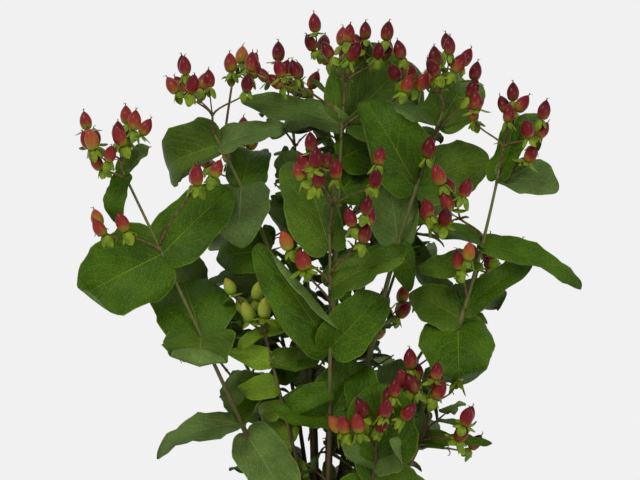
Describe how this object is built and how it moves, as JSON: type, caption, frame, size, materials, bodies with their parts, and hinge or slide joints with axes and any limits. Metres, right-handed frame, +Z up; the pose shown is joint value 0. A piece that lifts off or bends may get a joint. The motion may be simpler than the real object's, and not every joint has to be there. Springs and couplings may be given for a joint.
{
  "type": "potted hypericum shrub with red fruit",
  "caption": "Small potted St John's wort shrub: upright leafy stems from one woody crown, each ending in a branched cluster of red fruit, in a plain round pot.",
  "frame": {"origin": "middle of the pot's flat underside", "axes": "+Z up; +X to the right of someone in front of the plant; -Y towards them"},
  "size_m": [0.3323, 0.2264, 0.4821],
  "materials": {
    "pot": "matte fired clay",
    "soil": "rough moist compost",
    "bark": "thin young bark",
    "leaf": "satin leaf",
    "fruit": "smooth satin skin"
  },
  "bodies": {
    "root": {"bough_back_1": "bark", "bough_back_2": "bark", "bough_back_3": "bark", "bough_back_4": "bark", "bough_back_5": "bark", "bough_back_6": "bark", "bough_back_7": "bark", "bough_back_8": "bark", "bough_back_9": "bark", "bough_centre": "bark", "bough_green": "bark", "bough_left": "bark", "bough_left_centre": "bark", "bough_low_outer": "bark", "bough_low_right": "bark", "bough_right": "bark", "bough_right_centre": "bark", "bough_tall": "bark", "fruit_back_1": "fruit", "fruit_back_2": "fruit", "fruit_back_3": "fruit", "fruit_back_4": "fruit", "fruit_back_5": "fruit", "fruit_back_6": "fruit", "fruit_back_7": "fruit", "fruit_back_8": "fruit", "fruit_back_9": "fruit", "fruit_centre": "fruit", "fruit_green": "fruit", "fruit_left": "fruit", "fruit_left_centre": "fruit", "fruit_low_outer": "fruit", "fruit_low_right": "fruit", "fruit_right": "fruit", "fruit_right_centre": "fruit", "fruit_tall": "fruit", "leaves_back_1": "leaf", "leaves_back_2": "leaf", "leaves_back_3": "leaf", "leaves_back_4": "leaf", "leaves_back_5": "leaf", "leaves_back_6": "leaf", "leaves_back_7": "leaf", "leaves_back_8": "leaf", "leaves_back_9": "leaf", "leaves_centre": "leaf", "leaves_green": "leaf", "leaves_left": "leaf", "leaves_left_centre": "leaf", "leaves_low_outer": "leaf", "leaves_low_right": "leaf", "leaves_right": "leaf", "leaves_right_centre": "leaf", "leaves_tall": "leaf", "pot": "pot", "root_crown": "bark", "soil": "soil"}
  },
  "joints": []
}
